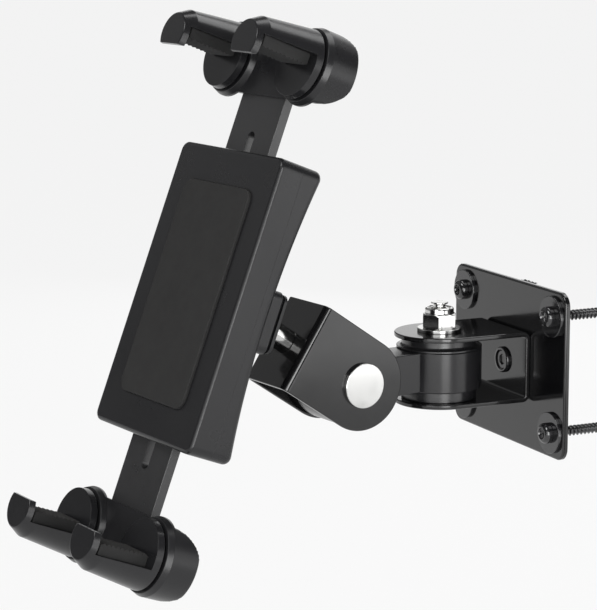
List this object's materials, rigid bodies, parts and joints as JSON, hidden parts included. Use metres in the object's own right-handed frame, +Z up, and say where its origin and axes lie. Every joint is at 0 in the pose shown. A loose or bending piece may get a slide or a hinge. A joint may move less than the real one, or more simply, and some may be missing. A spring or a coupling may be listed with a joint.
{
  "type": "tablet wall mount",
  "caption": "Wall plate with a folding swivel and tilt arm, a ball joint and a clamping holder whose sliding claws grip a tablet's edges.",
  "frame": {"origin": "centre of the wall plate's back face, on the wall and midway between the four wall screws", "axes": "+Y into the wall, +Z up, +X to the right for someone who faces the wall; the arm stands off towards -Y"},
  "size_m": [0.1397, 0.3274, 0.2783],
  "materials": {
    "black_steel": "gloss black paint",
    "polished_steel": "polished",
    "black_screw": "black",
    "black_plastic": "satin black",
    "bush_plastic": "satin black, self-lubricating",
    "ball_plastic": "smooth grey",
    "arm_steel": "satin black paint",
    "black_rubber": "matt black",
    "insert_plastic": "off-white"
  },
  "bodies": {
    "wall_bracket": {"wall_plate": "black_steel", "wall_washers": "black_screw", "wall_screws": "black_screw", "swivel_bracket": "black_steel", "swivel_bracket_screw": "black_screw", "swing_pin": "polished_steel", "swing_upper_bush": "bush_plastic", "swing_lower_bush": "bush_plastic", "swing_washer": "polished_steel", "swing_lock_nut": "polished_steel", "swing_nut_insert": "insert_plastic"},
    "swing_arm": {"swivel_link": "black_plastic"},
    "tilt_head": {"tilt_bracket": "black_steel", "ball_stud_screw": "black_screw", "ball_stud": "polished_steel", "tilt_pin": "polished_steel", "tilt_upper_bush": "bush_plastic", "tilt_lower_bush": "bush_plastic", "tilt_washer": "polished_steel", "tilt_lock_nut": "polished_steel", "tilt_nut_insert": "insert_plastic"},
    "ball_front": {"ball_front_seat": "ball_plastic"},
    "ball_rear": {"ball_rear_seat": "ball_plastic"},
    "holder": {"ball_retainer": "black_plastic", "retainer_screws": "black_screw", "rear_shell": "black_plastic", "front_shell": "black_plastic", "front_pad": "black_rubber", "housing_screws": "black_screw", "arm_clamp_screws": "black_screw"},
    "upper_claw": {"upper_arm": "arm_steel", "upper_crossbar": "black_plastic", "upper_left_finger": "black_plastic", "upper_right_finger": "black_plastic", "upper_left_grip": "black_rubber", "upper_right_grip": "black_rubber", "upper_finger_screws": "black_screw", "upper_arm_screws": "black_screw"},
    "lower_claw": {"lower_arm": "arm_steel", "lower_crossbar": "black_plastic", "lower_left_finger": "black_plastic", "lower_right_finger": "black_plastic", "lower_left_grip": "black_rubber", "lower_right_grip": "black_rubber", "lower_finger_screws": "black_screw", "lower_arm_screws": "black_screw"}
  },
  "joints": [
    {"name": "swing", "type": "hinge", "parent": "wall_bracket", "child": "swing_arm", "pos_m": [0, -0.045, 0], "axis": [0, 0, 1], "range_deg": [-83, 67]},
    {"name": "tilt", "type": "hinge", "parent": "swing_arm", "child": "tilt_head", "pos_m": [0.00863, -0.1064, 0], "axis": [-0.9903, -0.1392, 0], "range_deg": [-84, 16]},
    {"name": "ball_nod", "type": "hinge", "parent": "tilt_head", "child": "ball_front", "pos_m": [0.01671, -0.16386, 0.03914], "axis": [-0.9903, -0.1392, 0], "range_deg": [-1.5, 26.5]},
    {"name": "ball_turn", "type": "hinge", "parent": "ball_front", "child": "ball_rear", "pos_m": [0.01671, -0.16386, 0.03914], "axis": [-0.051, 0.3629, 0.9304], "range_deg": [-14, 14]},
    {"name": "ball_roll", "type": "hinge", "parent": "ball_rear", "child": "holder", "pos_m": [0.01671, -0.16386, 0.03914], "axis": [0.1295, -0.9214, 0.3665], "continuous": true},
    {"name": "upper_slide", "type": "slide", "parent": "holder", "child": "upper_claw", "axis": [-0.051, 0.3629, 0.9304], "range_m": [-0.0265, 0.015]},
    {"name": "lower_slide", "type": "slide", "parent": "holder", "child": "lower_claw", "axis": [0.051, -0.3629, -0.9304], "range_m": [-0.0265, 0.015]}
  ]
}
